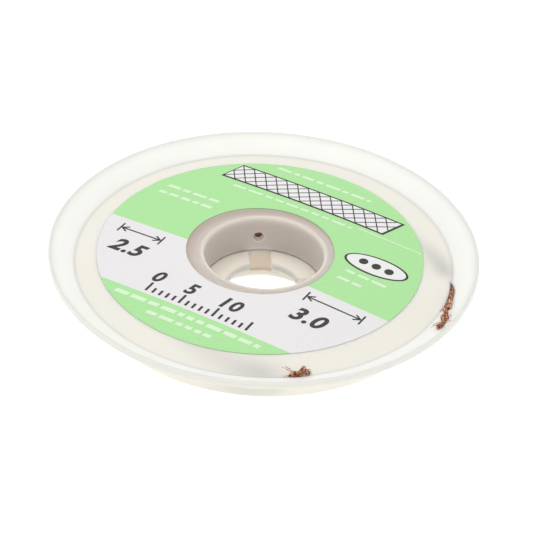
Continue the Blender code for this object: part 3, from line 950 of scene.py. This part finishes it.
def dashes(left, right, bottom, height, chance):
    """A row of plain short bars, where the label had a line of small words."""
    shapes = []
    place = left
    while place < right - 0.5:
        length = min(chance.uniform(0.8, 2.2), right - place)
        shapes.append(bar(place, place + length, bottom, bottom + height, DASH_SLANT))
        place += length + DASH_GAP
    return shapes


def arrow(left, right, middle, head):
    """A double arrow, the sign for a dimension."""
    shapes = [stroke((left, middle), (right, middle), LINE_WIDTH)]
    for tip, way in ((left, 1), (right, -1)):
        for side in (-1, 1):
            barb = (tip + way * head, middle + side * head * 0.6)
            shapes.append(stroke((tip, middle), barb, LINE_WIDTH))
    return shapes


def lattice(left, right, bottom, top, rows, width, slant):
    """Crossed lines inside a slanted band: a drawing of a flat braid."""
    step = (top - bottom) / rows
    reach = top - bottom
    shapes = []
    for count in range(-rows, round((right - left) / step)):
        for way in (1, -1):
            ends = []
            for along in (left + count * step, left + count * step + reach):
                inside = min(max(along, left), right)
                share = (inside - left - count * step) / reach
                up = bottom + reach * (share if way > 0 else 1 - share)
                ends.append((inside + slant * (up - bottom), up))
            shapes.append(stroke(*ends, width))
    return shapes


def model_label(paper, black, white, thin_white):
    """The label and the films of ink on it, in layers."""
    ring = add_piece("label_ring", label_mesh(), paper)
    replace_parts(ring, "label")
    chance = random.Random(SEED)
    # A drawing of a flat braid, outlined in black, fills the place of the large title
    black_shapes = [bar(*BAND, BAND_SLANT), oval(ELLIPSE, 4.5, 2.02, ELLIPSE_SLANT)]
    add_piece("print_outlines", printed(black_shapes, 0), black)
    inner = (BAND[0] + BAND_EDGE, BAND[1] - BAND_EDGE, BAND[2] + BAND_EDGE, BAND[3] - BAND_EDGE)
    white_shapes = [bar(*inner, BAND_SLANT), oval(ELLIPSE, 4.2, 1.74, ELLIPSE_SLANT)]
    add_piece("print_white", printed(white_shapes, 1), white)
    thin_shapes = [bar(*THIN_LINE)]
    for row in DASH_ROWS:
        thin_shapes += dashes(*row, chance)
    add_piece("print_thin_rows", printed(thin_shapes, 0), thin_white)
    marks = lattice(*inner, LATTICE_ROWS, LATTICE_WIDTH, BAND_SLANT)
    for count in (-1, 0, 1):
        marks.append(oval((ELLIPSE[0] + DOT_SPACING * count, ELLIPSE[1]), DOT_RADIUS, DOT_RADIUS))
    add_piece("print_marks", printed(marks, 2), black)
    numbers = [figures("2.5", (-17.3, -10.0), FIGURE_HEIGHT, 0.12, 0.25),
               figures("3.0", (10.1, -10.0), FIGURE_HEIGHT, 0.12, 0.25)]
    for left, right, middle in ARROWS:
        numbers += arrow(left + 0.3, right - 0.3, middle, ARROW_HEAD)
        numbers += [bar(left, left + ARROW_BAR, middle - 0.95, middle + 0.95),
                    bar(right - ARROW_BAR, right, middle - 0.95, middle + 0.95)]
    # A millimetre scale fills the place of the large type line
    for mark in range(SCALE_MARKS):
        fifth = mark % 5 == 0
        place = SCALE_LEFT + mark
        numbers.append(bar(place, place + 0.34, SCALE_BOTTOM, SCALE_BOTTOM + (1.8 if fifth else 1.0)))
        if fifth and mark < SCALE_MARKS - 1:
            numbers.append(figures(str(mark), (place - 0.7, SCALE_FIGURES_BOTTOM), SCALE_FIGURE_HEIGHT,
                                   0.1, 0.2))
    add_piece("print_numbers", printed(numbers, 0), black)


# The braid

def coil_knots():
    """Turns that climb outwards from the hub tube, low and high by turns."""
    knots = []
    for step in range(COIL_TURNS * COIL_KNOTS_PER_TURN + 1):
        turns = step / COIL_KNOTS_PER_TURN
        outward = turns * (COIL_RADIUS - COIL_INNER_RADIUS) / MM / COIL_TURNS
        radius = COIL_INNER_RADIUS / MM + 0.13 + outward
        height = 5.5 + 0.4 * math.sin(math.pi * turns)
        knots.append((COIL_START_ANGLE + 360.0 * turns, radius, height, 90.0))
    return knots


def model_braid(wire, weave):
    """The coil, both plaited ends and their frayed wires."""
    strip = strip_shape(coil_knots(), BRAID_WIDTH, COIL_THICKNESS, COIL_TURNS * COIL_STEPS_PER_TURN)
    coil = mesh_from(strip, "coil")
    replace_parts(add_piece("braid_coil", coil, weave), "braid")
    chance = random.Random(SEED)
    start = wires_mesh(plaited_lines(START_KNOTS, END_LENGTH), WIRE_RADIUS)
    add_piece("braid_inner_end", start, wire)
    finish = wires_mesh(plaited_lines(FINISH_KNOTS, END_LENGTH), WIRE_RADIUS)
    add_piece("braid_outer_end", finish, wire)
    frayed = [*tangled_lines(START_TANGLE, START_TANGLE_WIDTHS, 5.6 * MM, 34, chance),
              *loops_at(START_TANGLE, 0.93, 0.32 * MM, 5, chance),
              *tangled_lines(FINISH_TANGLE, FINISH_TANGLE_WIDTHS, 2.9 * MM, 34, chance),
              *loops_at(FINISH_TANGLE, 0.72, 0.3 * MM, 4, chance),
              *loops_at(FINISH_TANGLE, 0.35, 0.26 * MM, 3, chance), *loose_lines()]
    add_piece("braid_frayed_wires", wires_mesh(frayed, WIRE_RADIUS), wire)


# Room, light and camera

def make_stage():
    """A white board under the spool and an even white room."""
    floor_mesh = bpy.data.meshes.new("floor")
    shape = bmesh.new()
    bmesh.ops.create_grid(shape, x_segments=1, y_segments=1, size=2.0)
    shape.to_mesh(floor_mesh)
    shape.free()
    floor = bpy.data.objects.new("floor", floor_mesh)
    floor.location.z = -0.02 * MM
    bpy.context.scene.collection.objects.link(floor)
    material = new_material("plain white board", Base_Color=hex_colour("#BCBCBC"), Roughness=0.9,
                            Emission_Color=(1.0, 1.0, 1.0, 1.0), Emission_Strength=0.74)[0]
    floor_mesh.materials.append(material)
    world = bpy.data.worlds.new("white studio")
    world.use_nodes = True
    background = world.node_tree.nodes["Background"]
    background.inputs["Color"].default_value = (1.0, 1.0, 1.0, 1.0)
    background.inputs["Strength"].default_value = 0.76
    bpy.context.scene.world = world
    bpy.context.scene.view_settings.view_transform = "Standard"


def add_softbox(name, place, size, power):
    """A square lamp that shines at the origin."""
    light = bpy.data.lights.new(name, "AREA")
    light.shape = "SQUARE"
    light.size = size
    light.energy = power
    item = bpy.data.objects.new(name, light)
    item.location = place
    item.rotation_euler = (-Vector(place)).to_track_quat("-Z", "Y").to_euler()
    bpy.context.scene.collection.objects.link(item)


def make_camera():
    """The camera, fitted to the photograph."""
    data = bpy.data.cameras.new("camera")
    data.sensor_width = SENSOR
    data.lens = SENSOR * FOCAL_LENGTH_PIXELS / IMAGE_SIZE
    data.shift_x = 0.5 - AIM_PIXEL[0] / IMAGE_SIZE
    data.shift_y = AIM_PIXEL[1] / IMAGE_SIZE - 0.5
    data.clip_start = 0.01
    camera = bpy.data.objects.new("camera", data)
    back = Vector((0.0, -math.cos(CAMERA_ELEVATION), math.sin(CAMERA_ELEVATION)))
    turn = Matrix.Rotation(math.pi / 2 - CAMERA_ELEVATION, 4, "X") @ Matrix.Rotation(CAMERA_ROLL, 4, "Z")
    place = Vector((0.0, 0.0, AIM_HEIGHT)) + back * CAMERA_DISTANCE
    camera.matrix_world = Matrix.Translation(place) @ turn
    bpy.context.scene.collection.objects.link(camera)
    bpy.context.scene.camera = camera


def main():
    """Builds the stage, the spool, its label and the braid."""
    make_camera()
    make_stage()
    add_softbox("softbox above", (-0.02, 0.03, 0.2), 0.14, 0.145)
    upper_plastic = spool_plastic("moulded natural polypropylene", "#F3F2EE", "#F7F6F2", UPPER_TONES_AND_SHADE,
                                  UPPER_SCATTER)
    lower_plastic = spool_plastic("moulded natural polypropylene, creamier", "#F0EDE5", "#F5F2EB",
                                  LOWER_TONES_AND_SHADE, LOWER_SCATTER)
    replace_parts(add_piece("upper_half", upper_half_mesh(), upper_plastic), "upper_flange")
    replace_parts(add_piece("lower_half", lower_half_mesh(), lower_plastic), "lower_flange")
    model_label(label_paper(), printing_ink("black printing ink", "#23201E", "#37332F"),
                printing_ink("bare paper white", "#E2E2E1", "#ECECEC"),
                printing_ink("thin white print on green", "#CDEBC3", "#DDF2D5"))
    model_braid(copper_wire(), copper_weave())


main()
